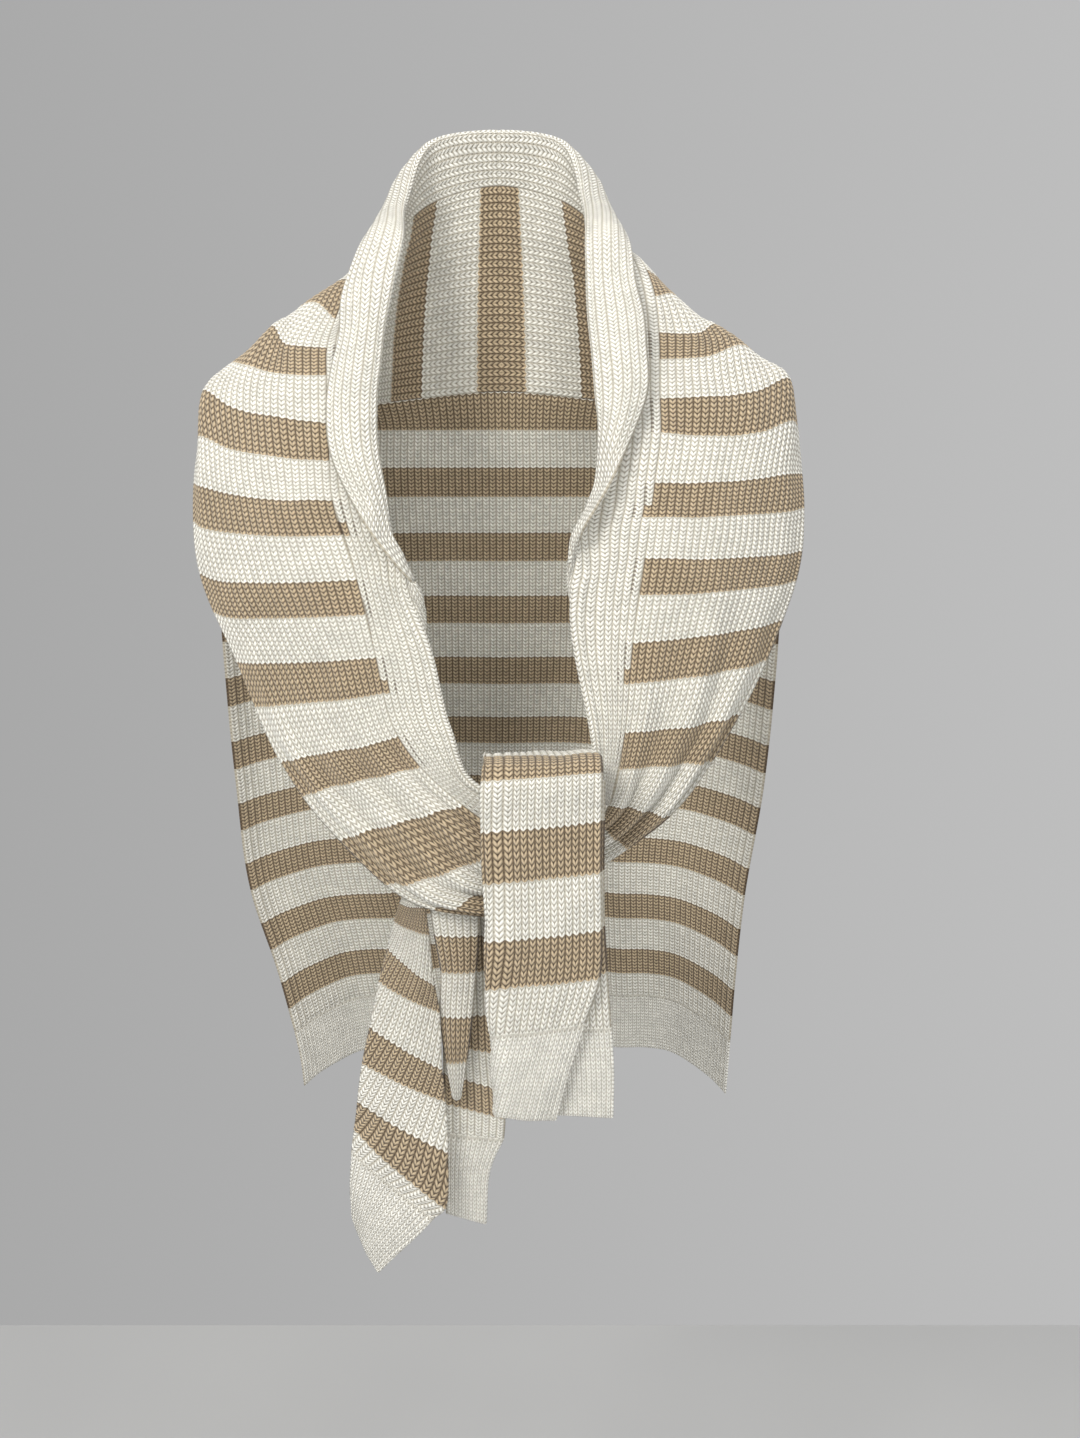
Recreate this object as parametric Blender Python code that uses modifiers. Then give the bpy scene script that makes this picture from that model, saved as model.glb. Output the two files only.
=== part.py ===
"""Knitted shoulder wrap with a shawl collar, its two long fronts tied in a half knot.

Metres, +Z up.  The origin is the seat of the wrap: the middle of the neck, level with the
top of the shoulders.  X runs to the wearer's left, +Y to the wearer's back.  Every piece of
cloth is a coarse cage laid along its courses (the rows) and its ribs (the columns), smoothed
by Subdivision Surface and thickened by Solidify.  Cage points are in millimetres.
"""
import bpy
from mathutils import Vector

MM = 0.001
CLOTH = 4.0          # thickness of the knit, mm
BUNDLE = 9.0         # thickness of the gathered cloth inside the knot, mm
SEAM_GAP = 2.5       # clear space between two pieces that are sewn edge to edge, mm
CORNER_DROP = 2.0    # how much lower the corners of the back start, mm
SMOOTHING = 1        # subdivision level of a cage
FOLD_LIFT = 8.0      # how far the folded-over half of the collar stands off the band, mm
HEM_TOP = -598.0     # where the hem rib starts on the back, mm
HEM_END = -652.0     # lower edge of the back, mm

CREAM = (0.78, 0.75, 0.66)
TAN = (0.36, 0.27, 0.17)

# Each row of a front runs from the outer edge (E) over A, B and C to the start of the
# collar band (S) and the band's fold (F).  The first row is the centre back.
RIGHT_FRONT = [
    # E                  A                   B                   C                   S                   F
    ((0, 103, -77),      (0, 100, -28),      (0, 97, 12),        (0, 92, 44),        (0, 87, 70),        (0, 75, 104)),
    ((-62, 100, -82),    (-59, 95, -34),     (-55, 90, 4),       (-50, 82, 34),      (-46, 77, 58),      (-47, 68, 96)),
    ((-110, 94, -88),    (-104, 82, -44),    (-96, 68, -12),     (-86, 56, 12),      (-77, 46, 28),      (-64, 30, 50)),
    ((-154, 80, -92),    (-142, 58, -50),    (-128, 40, -22),    (-112, 24, -6),     (-100, 8, -4),      (-65, 8, 18)),
    ((-174, 74, -92),    (-162, 52, -54),    (-146, 30, -30),    (-126, 6, -20),     (-109, -14, -33),   (-69, -12, -8)),
    ((-190, 64, -94),    (-176, 38, -56),    (-157, 12, -36),    (-142, -16, -50),   (-113, -30, -53),   (-74, -33, -40)),
    ((-200, 46, -98),    (-190, 20, -62),    (-172, -12, -63),   (-143, -32, -70),   (-112, -42, -71),   (-76, -44, -62)),
    ((-207, 24, -102),   (-204, -4, -80),    (-176, -34, -92),   (-143, -50, -98),   (-110, -57, -102),  (-78, -56, -88)),
    ((-212, 8, -118),    (-206, -16, -110),  (-176, -46, -119),  (-141, -60, -124),  (-108, -67, -126),  (-77, -67, -115)),
    ((-212, -14, -142),  (-202, -36, -143),  (-174, -60, -148),  (-139, -74, -151),  (-105, -79, -151),  (-71, -80, -146)),
    ((-206, -38, -202),  (-190, -58, -205),  (-158, -80, -204),  (-122, -95, -202),  (-88, -99, -200),   (-53, -101, -205)),
    ((-178, -62, -260),  (-162, -80, -258),  (-136, -94, -255),  (-106, -105, -252), (-76, -109, -249),  (-40, -110, -252)),
    ((-146, -86, -325),  (-130, -102, -318), (-110, -110, -312), (-84, -117, -306),  (-62, -119, -299),  (-29, -118, -296)),
    ((-104, -112, -372), (-82, -124, -361),  (-62, -130, -354),  (-42, -134, -347),  (-20, -134, -341),  (-9, -128, -332)),
    ((-72, -129, -397),  (-52, -140, -391),  (-30, -146, -382),  (-9, -148, -373),   (12, -147, -360),   (17, -140, -338)),
    ((-41, -140, -410),  (-22, -147, -403),  (-2, -150, -393),   (18, -150, -382),   (36, -148, -368),   None),
    ((-8, -143, -414),   (10, -148, -407),   (28, -150, -397),   (42, -149, -386),   (54, -146, -374),   None),
]
LEFT_FRONT = [
    ((0, 103, -77),      (0, 100, -28),      (0, 97, 12),        (0, 92, 44),        (0, 87, 70),        (0, 75, 104)),
    ((62, 100, -82),     (59, 95, -34),      (55, 90, 4),        (50, 82, 34),       (46, 77, 58),       (45, 68, 96)),
    ((110, 94, -88),     (104, 82, -44),     (98, 68, -12),      (90, 56, 12),       (80, 46, 28),       (60, 32, 50)),
    ((152, 82, -92),     (140, 62, -50),     (126, 44, -20),     (114, 28, -4),      (104, 14, 2),       (62, 8, 12)),
    ((173, 76, -92),     (160, 54, -56),     (142, 34, -30),     (123, 14, -15),     (109, -2, -17),     (62, -12, -12)),
    ((188, 64, -94),     (172, 36, -54),     (152, 10, -35),     (138, -10, -42),    (111, -16, -42),    (63, -26, -36)),
    ((198, 46, -96),     (186, 22, -60),     (172, 0, -50),      (142, -20, -58),    (111, -26, -60),    (65, -38, -56)),
    ((206, 22, -98),     (202, -6, -72),     (175, -30, -81),    (143, -42, -85),    (110, -44, -86),    (67, -54, -85)),
    ((212, 8, -112),     (205, -16, -100),   (177, -40, -108),   (144, -52, -110),   (110, -55, -108),   (69, -63, -106)),
    ((213, -14, -136),   (203, -32, -135),   (175, -54, -138),   (140, -68, -140),   (105, -72, -140),   (66, -78, -142)),
    ((211, -38, -187),   (197, -52, -188),   (168, -72, -188),   (132, -88, -188),   (98, -91, -187),    (53, -98, -187)),
    ((196, -58, -232),   (180, -72, -234),   (152, -90, -236),   (120, -102, -238),  (90, -106, -240),   (53, -109, -240)),
    ((165, -84, -292),   (148, -98, -293),   (128, -108, -295),  (106, -114, -296),  (85, -117, -297),   (64, -118, -296)),
    ((116, -113, -355),  (104, -121, -350),  (93, -126, -346),   (82, -128, -344),   (75, -129, -343),   (68, -128, -338)),
    ((89, -121, -374),   (82, -127, -368),   (76, -130, -362),   (71, -131, -357),   (67, -131, -353),   None),
]
LAPEL_ROWS = 10      # rows of a front along which the collar is folded over, counted from the back
# Middle and free edge of the folded-over half, one pair for each of those rows.
RIGHT_LAPEL = [
    ((0, 91, 97), (0, 98, 79)), ((-59, 76, 84), (-64, 84, 63)), ((-80, 46, 49), (-89, 56, 36)),
    ((-84, 12, 21), (-98, 9, 9)), ((-89, -17, -7), (-103, -20, -18)), ((-90, -41, -40), (-103, -39, -46)),
    ((-93, -53, -63), (-107, -51, -67)), ((-95, -66, -91), (-109, -65, -95)),
    ((-92, -77, -117), (-106, -75, -119)), ((-80, -90, -146), (-93, -88, -147)),
]
LEFT_LAPEL = [
    ((0, 91, 97), (0, 98, 79)), ((57, 76, 84), (61, 84, 63)), ((77, 46, 51), (86, 56, 38)),
    ((79, 9, 22), (93, 8, 13)), ((79, -15, -5), (94, -16, -8)), ((82, -34, -32), (99, -32, -32)),
    ((84, -46, -52), (100, -43, -52)), ((84, -62, -82), (100, -58, -82)),
    ((80, -74, -105), (91, -70, -106)), ((72, -88, -141), (80, -90, -141)),
]
UNDERFOLD_ROWS = (10, 13)    # rows along which the free half of the band is turned inside
UNDERFOLD_WIDTH = 0.75       # its width as a share of the band's

# The back, top to bottom: (z, left side, right side, y at the sides, y at the middle, and the
# power that says how late the arc between them bends)
YOKE = [(-110.0, -205.0, 205.0, 34.0, 107.0, 4.0), (-120.0, -208.0, 208.0, 36.0, 109.0, 4.0)]
DRAPE = [(-124.0, -209.0, 209.0, 37.0, 110.0, 4.0), (-200.0, -216.0, 215.0, 56.0, 122.0, 3.0),
         (-290.0, -220.0, 217.0, 74.0, 130.0, 2.4), (-380.0, -220.0, 214.0, 87.0, 134.0, 2.0),
         (-480.0, -214.0, 203.0, 95.0, 135.0, 2.0), (-543.0, -197.0, 199.0, 98.0, 135.0, 2.0)]
HEM = (-183.0, 196.0, 101.0, 134.0, 2.0)     # the same for the hem rib, without its level
BACK_COLUMNS = 8             # cage faces across the back
BACK_WAVE = 5.0              # depth of the soft waves that hang in the back, mm
BACK_DIPS = (20.0, 28.0)     # how far its lower corners hang down, left and right, mm

GATHERED = [  # the left front inside the knot, from the shoulder side to the tail, top to bottom
    ((64, -131, -365), (70, -131, -373), (77, -129, -381), (86, -124, -391)),
    ((36, -130, -367), (40, -131, -380), (46, -129, -392), (52, -125, -403)),
    ((8, -129, -372), (10, -130, -384), (13, -129, -397), (16, -126, -409)),
    ((-20, -127, -380), (-19, -128, -390), (-17, -128, -400), (-15, -126, -410)),
    ((-46, -125, -389), (-45, -126, -396), (-43, -126, -403), (-40, -125, -410)),
]
KNOT_WRAP = [  # the right front behind the knot and over its top: its two sides
    ((-4, -111, -404), (46, -111, -404)), ((-4, -109, -360), (48, -109, -360)),
    ((-4, -111, -332), (50, -111, -332)), ((-4, -120, -315), (54, -120, -315)),
    ((-5, -137, -306), (62, -137, -306)), ((-5, -156, -302), (66, -156, -302)),
    ((-5, -166, -302), (67, -166, -302)),
]

FLAP_FRONT = [((-5, -178, -307), (67, -178, -305)), ((-4, -180, -356), (67, -180, -356)),
              ((-3, -180, -422), (66, -180, -424)), ((-1, -180, -477), (56, -180, -470))]
FLAP_FRONT_CUFF = [((-1, -180, -481), (55, -180, -474)), ((0, -180, -508), (48, -180, -505)),
                   ((1, -179, -533), (40, -179, -539))]
FLAP_BACK = [((2, -171, -317), (69, -171, -317)), ((3, -172, -380), (69, -172, -380)),
             ((4, -172, -440), (72, -172, -440)), ((5, -172, -476), (75, -172, -476))]
FLAP_BACK_CUFF = [((5, -172, -480), (75, -172, -480)), ((8, -172, -508), (77, -172, -510)),
                  ((12, -172, -538), (76, -172, -541))]

TAIL_OUTER = [((-66, -130, -418), (-46, -133, -420)), ((-74, -132, -445), (-42, -136, -462)),
              ((-80, -133, -471), (-38, -138, -486)), ((-90, -136, -522), (-36, -139, -542)),
              ((-96, -138, -554), (-34, -140, -590)), ((-99, -139, -578), (-37, -140, -630))]
TAIL_OUTER_CUFF = [((-99, -139, -583), (-40, -140, -634)), ((-101, -140, -612), (-60, -141, -655)),
                   ((-101, -140, -640), (-84, -141, -681))]
TAIL_PLEAT = [((-41, -130, -419), (-13, -131, -420)), ((-36, -130, -445), (-12, -131, -446)),
              ((-36, -131, -480), (-15, -132, -480)), ((-33, -132, -520), (-20, -132, -520)),
              ((-29, -132, -548), (-26, -132, -548))]
TAIL_INNER = [((-34, -122, -419), (-2, -122, -419)), ((-36, -122, -470), (0, -121, -468)),
              ((-36, -123, -530), (3, -121, -528)), ((-36, -124, -582), (5, -122, -578))]
TAIL_INNER_CUFF = [((-36, -124, -586), (5, -122, -582)), ((-36, -124, -616), (-4, -122, -612)),
                   ((-36, -124, -646), (-9, -122, -653))]
LEAF_BULGE = 3.0             # how far the middle of a hanging leaf stands forward, mm
LEAF_COLUMNS = 3             # cage faces across a hanging leaf


def clear_scene():
    for obj in list(bpy.data.objects):
        bpy.data.objects.remove(obj, do_unlink=True)


def knit_material(name, colour):
    material = bpy.data.materials.new(name)
    material.use_nodes = True
    shader = material.node_tree.nodes["Principled BSDF"]
    shader.inputs["Base Color"].default_value = (*colour, 1.0)
    shader.inputs["Roughness"].default_value = 0.95
    shader.inputs["Metallic"].default_value = 0.0
    return material


def cloth(collection, name, rows, colour=CREAM, thickness=CLOTH):
    """A sheet through a cage of rows, all with the same number of points, made solid."""
    columns = len(rows[0])
    points = [Vector(p) * MM for row in rows for p in row]
    faces = []
    for r in range(len(rows) - 1):
        for c in range(columns - 1):
            first = r * columns + c
            faces.append((first, first + 1, first + columns + 1, first + columns))
    mesh = bpy.data.meshes.new(name)
    mesh.from_pydata(points, [], faces)
    obj = bpy.data.objects.new(name, mesh)
    collection.objects.link(obj)
    mesh.materials.append(knit_material(name + "_knit", colour))
    mesh.shade_smooth()
    smooth = obj.modifiers.new("smooth", "SUBSURF")
    smooth.levels = SMOOTHING
    smooth.render_levels = SMOOTHING
    smooth.boundary_smooth = "PRESERVE_CORNERS"
    solid = obj.modifiers.new("thickness", "SOLIDIFY")
    solid.thickness = thickness * MM
    solid.offset = 0.0
    return obj


def between(a, b, share):
    return tuple(Vector(a).lerp(Vector(b), share))


def pulled_in(row, gap):
    """The row with both its ends moved inwards by gap."""
    first, last = Vector(row[0]), Vector(row[-1])
    head = first + (Vector(row[1]) - first).normalized() * gap
    tail = last + (Vector(row[-2]) - last).normalized() * gap
    return [tuple(head), *row[1:-1], tuple(tail)]


def centre_gap(rows, side):
    """Moves the first row off the centre back, where the two fronts are joined."""
    moved = [(x + side * SEAM_GAP / 2, y, z) for x, y, z in rows[0]]
    return [moved, *rows[1:]]


def front_main(table, side):
    return centre_gap([pulled_in(row[:5], SEAM_GAP / 2) for row in table], side)


def front_band(table, side):
    rows = []
    for row in table:
        if row[5] is None:
            continue
        rows.append(pulled_in([row[4], between(row[4], row[5], 0.5), row[5]], SEAM_GAP / 2))
    return centre_gap(rows, side)


def lapel(table, edges, side):
    """The half of the band that is folded outwards, clear of the half below it."""
    rows = []
    for row, (middle, edge) in zip(table[:LAPEL_ROWS], edges):
        fold, start = Vector(row[5]), Vector(middle)
        lift = (start - fold).normalized() * FOLD_LIFT * 0.5
        outwards = Vector((side * 0.5, 0.0, 0.0)) if fold.x == 0 else Vector((fold.x, fold.y, 0)).normalized()
        top = fold + lift + outwards * FOLD_LIFT * 0.5 + Vector((0, 0, FOLD_LIFT * 0.5))
        rows.append([tuple(top), middle, edge])
    return centre_gap(rows, side)


def underfold(table):
    """The same half lower down, where it is turned to the inside."""
    rows = []
    for row in table[UNDERFOLD_ROWS[0]:UNDERFOLD_ROWS[1]]:
        inside = Vector((0.0, FOLD_LIFT, 0.0))
        fold = Vector(row[5]) + inside
        edge = fold.lerp(Vector(row[4]) + inside, UNDERFOLD_WIDTH)
        rows.append([tuple(fold), tuple(fold.lerp(edge, 0.5)), tuple(edge)])
    return rows


def back_row(z, left, right, side_y, middle_y, power, share=0.0):
    """One row of the back: an arc from side to side; share says how much it waves and dips."""
    row = []
    for c in range(BACK_COLUMNS + 1):
        t = 2.0 * c / BACK_COLUMNS - 1.0
        ripple = BACK_WAVE * share * (1 if c % 2 else -1)
        dip = BACK_DIPS[t > 0] * share ** 1.5 * max(0.0, (abs(t) - 0.6) / 0.4) ** 2
        x = left + (right - left) * (t + 1.0) / 2.0
        row.append((x, middle_y + (side_y - middle_y) * abs(t) ** power + ripple, z - dip))
    return row


def yoke_top():
    """The upper edge of the back, a seam's width below the outer edge of both fronts."""
    right = [row[0] for row in RIGHT_FRONT[:8]]
    keep = [right[7], right[5], right[3], right[1], right[0]]
    lowered = [(x, y + 1, z - SEAM_GAP - CORNER_DROP * (abs(x) > 180)) for x, y, z in keep]
    return lowered + [(-x, y, z) for x, y, z in reversed(lowered[:-1])]


def leaf(rows, bulge=LEAF_BULGE):
    """A hanging leaf from the two ends of each row, with its middle a little forward."""
    cage = []
    for left, right in rows:
        row = []
        for c in range(LEAF_COLUMNS + 1):
            t = c / LEAF_COLUMNS
            x, y, z = between(left, right, t)
            row.append((x, y - bulge * 4.0 * t * (1.0 - t), z))
        cage.append(row)
    return cage


def build_fronts(parts):
    cloth(parts, "right_front", front_main(RIGHT_FRONT, -1), TAN)
    cloth(parts, "left_front", front_main(LEFT_FRONT, 1), TAN)
    cloth(parts, "right_collar_band", front_band(RIGHT_FRONT, -1))
    cloth(parts, "left_collar_band", front_band(LEFT_FRONT, 1))
    cloth(parts, "right_lapel", lapel(RIGHT_FRONT, RIGHT_LAPEL, -1))
    cloth(parts, "left_lapel", lapel(LEFT_FRONT, LEFT_LAPEL, 1))
    cloth(parts, "right_underfold", underfold(RIGHT_FRONT))
    cloth(parts, "left_underfold", underfold(LEFT_FRONT))


def build_back(parts):
    yoke = [yoke_top()] + [back_row(*line) for line in YOKE]
    cloth(parts, "back_yoke", yoke, TAN)
    drape = [back_row(*DRAPE[0])]
    drape += [back_row(*line, share=n / len(DRAPE)) for n, line in enumerate(DRAPE[1:], 1)]
    drape.append(back_row(HEM_TOP, *HEM, share=1.0))
    cloth(parts, "back_drape", drape, TAN)
    rib = [back_row(z, *HEM, share=1.0) for z in (HEM_TOP - SEAM_GAP, HEM_END)]
    cloth(parts, "back_hem_rib", rib)


def build_knot(parts):
    cloth(parts, "gathered_strand", GATHERED, TAN, BUNDLE)
    cloth(parts, "knot_wrap", leaf(KNOT_WRAP, bulge=0.0))


def build_ends(parts):
    cloth(parts, "flap_front_leaf", leaf(FLAP_FRONT), TAN)
    cloth(parts, "flap_front_cuff", leaf(FLAP_FRONT_CUFF))
    cloth(parts, "flap_back_leaf", leaf(FLAP_BACK, bulge=0.0), TAN)
    cloth(parts, "flap_back_cuff", leaf(FLAP_BACK_CUFF, bulge=0.0))
    cloth(parts, "tail_outer_leaf", leaf(TAIL_OUTER), TAN)
    cloth(parts, "tail_outer_cuff", leaf(TAIL_OUTER_CUFF))
    cloth(parts, "tail_pleat", leaf(TAIL_PLEAT, bulge=0.0), TAN)
    cloth(parts, "tail_inner_leaf", leaf(TAIL_INNER, bulge=0.0), TAN)
    cloth(parts, "tail_inner_cuff", leaf(TAIL_INNER_CUFF, bulge=0.0))


def main():
    clear_scene()
    parts = bpy.data.collections.new("knitted_shoulder_wrap")
    bpy.context.scene.collection.children.link(parts)
    build_fronts(parts)
    build_back(parts)
    build_knot(parts)
    build_ends(parts)


main()
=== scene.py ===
"""Looks of the knitted shoulder wrap: every piece of rib knit is laid out again along its own
courses and ribs, with real ribs on both faces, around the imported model.

A piece is a grid.  Its columns follow the ribs, numbered from its outer edge, and its rows
follow the courses, numbered so that a tan stripe starts at 0, 18, 36 and so on.  The nets
below hold points in millimetres, in the frame of the part.
"""
import math

import bpy
import numpy as np
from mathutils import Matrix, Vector


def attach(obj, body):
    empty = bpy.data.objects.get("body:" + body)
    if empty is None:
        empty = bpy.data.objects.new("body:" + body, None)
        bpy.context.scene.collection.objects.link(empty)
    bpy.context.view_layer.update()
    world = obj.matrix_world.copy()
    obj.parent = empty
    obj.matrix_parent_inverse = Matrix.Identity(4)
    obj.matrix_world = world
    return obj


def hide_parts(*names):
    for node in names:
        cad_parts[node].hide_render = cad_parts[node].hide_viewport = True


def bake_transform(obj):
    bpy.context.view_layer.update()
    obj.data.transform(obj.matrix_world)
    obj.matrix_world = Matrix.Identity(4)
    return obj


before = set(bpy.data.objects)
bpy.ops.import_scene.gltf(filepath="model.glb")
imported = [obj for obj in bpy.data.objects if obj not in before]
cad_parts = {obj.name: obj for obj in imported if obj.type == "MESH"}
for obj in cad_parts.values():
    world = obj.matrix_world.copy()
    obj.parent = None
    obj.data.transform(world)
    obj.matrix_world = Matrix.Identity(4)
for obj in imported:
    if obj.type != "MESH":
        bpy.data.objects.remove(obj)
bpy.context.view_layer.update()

MM = 0.001
MIRROR = np.array([-1.0, 1.0, 1.0])   # turns a point into the one opposite it
RIB_HEIGHT = 1.15        # relief of a rib, mm
CUFF_HEIGHT = 0.9        # the same on a cuff
CORE = 0.55              # half the thickness of the knit between two ribs, mm
RIM = 0.35               # how far a selvedge stands out past the cloth's own edge, mm
EDGE_SHARE = 0.6         # thickness at the edges of a piece, as a share of the rest
STITCH_RELIEF = 0.22     # share of the relief that comes and goes with each course
SAMPLES = 4              # mesh columns in a rib
CUFF_SAMPLES = 6
HEM_SAMPLES = 5
ROWS_PER_COURSE = 2
BACK_ROWS_PER_COURSE = 0.8
PANEL_RIBS = 26
BAND_RIBS = 13
STRIPE_REPEAT = 18       # courses in a tan and a cream stripe together
TAN_COURSES = 8
FINE = 4.0 / 3.0         # how much closer the ribs of a cuff lie

# ---------------------------------------------------------------- nets, as in the part
# Each row of a front runs from its outer edge E over A, B and C to the collar's seam S and
# fold F; where F is None, the collar has ended.
RIGHT_COURSES = [-50, -36, -18, 0, 8, 18, 26, 36, 44, 54, 72, 90, 108, 126, 134, 144, 152]
RIGHT_FRONT = [
    # E                  A                   B
    # C                  S                   F
    ((0, 103, -77),      (0, 100, -28),      (0, 97, 12),
     (0, 92, 44),        (0, 87, 70),        (0, 75, 104)),
    ((-62, 100, -82),    (-59, 95, -34),     (-55, 90, 4),
     (-50, 82, 34),      (-46, 77, 58),      (-47, 68, 96)),
    ((-110, 94, -88),    (-104, 82, -44),    (-96, 68, -12),
     (-86, 56, 12),      (-77, 46, 28),      (-64, 30, 50)),
    ((-154, 80, -92),    (-142, 58, -50),    (-128, 40, -22),
     (-112, 24, -6),     (-100, 8, -4),      (-65, 8, 18)),
    ((-174, 74, -92),    (-162, 52, -54),    (-146, 30, -30),
     (-126, 6, -20),     (-109, -14, -33),   (-69, -12, -8)),
    ((-190, 64, -94),    (-176, 38, -56),    (-157, 12, -36),
     (-142, -16, -50),   (-113, -30, -53),   (-74, -33, -40)),
    ((-200, 46, -98),    (-190, 20, -62),    (-172, -12, -63),
     (-143, -32, -70),   (-112, -42, -71),   (-76, -44, -62)),
    ((-207, 24, -102),   (-204, -4, -80),    (-176, -34, -92),
     (-143, -50, -98),   (-110, -57, -102),  (-78, -56, -88)),
    ((-212, 8, -118),    (-206, -16, -110),  (-176, -46, -119),
     (-141, -60, -124),  (-108, -67, -126),  (-77, -67, -115)),
    ((-212, -14, -142),  (-202, -36, -143),  (-174, -60, -148),
     (-139, -74, -151),  (-105, -79, -151),  (-71, -80, -146)),
    ((-206, -38, -202),  (-190, -58, -205),  (-158, -80, -204),
     (-122, -95, -202),  (-88, -99, -200),   (-53, -101, -205)),
    ((-178, -62, -260),  (-162, -80, -258),  (-136, -94, -255),
     (-106, -105, -252), (-76, -109, -249),  (-40, -110, -252)),
    ((-146, -86, -325),  (-130, -102, -318), (-110, -110, -312),
     (-84, -117, -306),  (-62, -119, -299),  (-29, -118, -296)),
    ((-104, -112, -372), (-82, -124, -361),  (-62, -130, -354),
     (-42, -134, -347),  (-20, -134, -341),  (-9, -128, -332)),
    ((-72, -129, -397),  (-52, -140, -391),  (-30, -146, -382),
     (-9, -148, -373),   (12, -147, -360),   (17, -140, -338)),
    ((-41, -140, -410),  (-22, -147, -403),  (-2, -150, -393),
     (18, -150, -382),   (36, -148, -368),   None),
    ((-8, -143, -414),   (10, -148, -407),   (28, -150, -397),
     (42, -149, -386),   (54, -146, -374),   None),
]
LEFT_COURSES = [-50, -36, -18, 0, 8, 18, 26, 36, 44, 54, 72, 90, 108, 126, 134, 142, 152, 162, 172]
LEFT_FRONT = [
    ((0, 103, -77),      (0, 100, -28),      (0, 97, 12),
     (0, 92, 44),        (0, 87, 70),        (0, 75, 104)),
    ((62, 100, -82),     (59, 95, -34),      (55, 90, 4),
     (50, 82, 34),       (46, 77, 58),       (45, 68, 96)),
    ((110, 94, -88),     (104, 82, -44),     (98, 68, -12),
     (90, 56, 12),       (80, 46, 28),       (60, 32, 50)),
    ((152, 82, -92),     (140, 62, -50),     (126, 44, -20),
     (114, 28, -4),      (104, 14, 2),       (62, 8, 12)),
    ((173, 76, -92),     (160, 54, -56),     (142, 34, -30),
     (123, 14, -15),     (109, -2, -17),     (62, -12, -12)),
    ((188, 64, -94),     (172, 36, -54),     (152, 10, -35),
     (138, -10, -42),    (111, -16, -42),    (63, -26, -36)),
    ((198, 46, -96),     (186, 22, -60),     (172, 0, -50),
     (142, -20, -58),    (111, -26, -60),    (65, -38, -56)),
    ((206, 22, -98),     (202, -6, -72),     (175, -30, -81),
     (143, -42, -85),    (110, -44, -86),    (67, -54, -85)),
    ((212, 8, -112),     (205, -16, -100),   (177, -40, -108),
     (144, -52, -110),   (110, -55, -108),   (69, -63, -106)),
    ((213, -14, -136),   (203, -32, -135),   (175, -54, -138),
     (140, -68, -140),   (105, -72, -140),   (66, -78, -142)),
    ((211, -38, -187),   (197, -52, -188),   (168, -72, -188),
     (132, -88, -188),   (98, -91, -187),    (53, -98, -187)),
    ((196, -58, -232),   (180, -72, -234),   (152, -90, -236),
     (120, -102, -238),  (90, -106, -240),   (53, -109, -240)),
    ((165, -84, -292),   (148, -98, -293),   (128, -108, -295),
     (106, -114, -296),  (85, -117, -297),   (64, -118, -296)),
    ((116, -113, -355),  (104, -121, -350),  (93, -126, -346),
     (82, -128, -344),   (75, -129, -343),   (68, -128, -338)),
    ((89, -121, -374),   (82, -127, -368),   (76, -130, -362),
     (71, -131, -357),   (67, -131, -353),   None),
    ((69, -122, -388),   (63, -127, -382),   (57, -130, -375),
     (53, -131, -368),   (50, -130, -361),   None),
    ((36, -123, -408),   (33, -128, -400),   (30, -130, -391),
     (28, -131, -382),   (26, -129, -372),   None),
    ((0, -123, -411),    (-1, -127, -404),   (-1, -129, -397),
     (-1, -129, -390),   (-2, -128, -382),   None),
    ((-34, -122, -411),  (-35, -125, -406),  (-36, -126, -401),
     (-37, -126, -396),  (-38, -124, -390),  None),
]
# The free half of each collar: its middle and free edge, by course.  It is folded outwards
# round the neck, rolls over at the twist and lies inside the band below it.
RIGHT_COLLAR = {
    -50: ((0, 91, 97), (0, 98, 79)),              -36: ((-59, 76, 84), (-64, 84, 63)),
    -18: ((-80, 46, 49), (-89, 56, 36)),          0: ((-84, 12, 21), (-98, 9, 9)),
    8: ((-89, -17, -7), (-103, -20, -18)),        18: ((-90, -41, -40), (-103, -39, -46)),
    26: ((-93, -53, -63), (-107, -51, -67)),      36: ((-95, -66, -91), (-109, -65, -95)),
    44: ((-92, -77, -117), (-106, -75, -119)),    54: ((-80, -90, -146), (-93, -88, -147)),
}
LEFT_COLLAR = {
    -50: ((0, 91, 97), (0, 98, 79)),              -36: ((57, 76, 84), (61, 84, 63)),
    -18: ((77, 46, 51), (86, 56, 38)),            0: ((79, 9, 22), (93, 8, 13)),
    8: ((79, -15, -5), (94, -16, -8)),            18: ((82, -34, -32), (99, -32, -32)),
    26: ((84, -46, -52), (100, -43, -52)),        36: ((84, -62, -82), (100, -58, -82)),
    44: ((80, -74, -105), (91, -70, -106)),       54: ((72, -88, -141), (74, -94, -141)),
}
# Extra rows through the twist: course, then S, F, middle and free edge.
RIGHT_TWIST = [
    (62, ((-97, -88, -173), (-66, -90, -172), (-72, -98, -172), (-76, -104, -172))),
    (67, ((-92, -94, -187), (-58, -95, -188), (-58, -102, -189), (-61, -107, -191))),
    (72, ((-88, -99, -200), (-55, -100, -205), (-49, -104, -206), (-47, -101, -208))),
    (80, ((-83, -102, -223), (-48, -104, -226), (-45, -98, -226), (-54, -95, -226))),
]
LEFT_TWIST = [
    (59, ((104, -77, -154), (61, -86, -154), (64, -94, -154), (66, -101, -154))),
    (65, ((101, -85, -169), (54, -94, -169), (53, -101, -169), (57, -104, -169))),
    (72, ((98, -91, -187), (52, -98, -188), (49, -102, -188), (52, -97, -188))),
    (80, ((94, -98, -209), (51, -103, -210), (50, -97, -210), (59, -94, -210))),
]
INSIDE = 6.0             # how far inside the band its turned-in half lies, mm
INSIDE_SHARE = 0.62      # width of that half as a share of the band's
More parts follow.
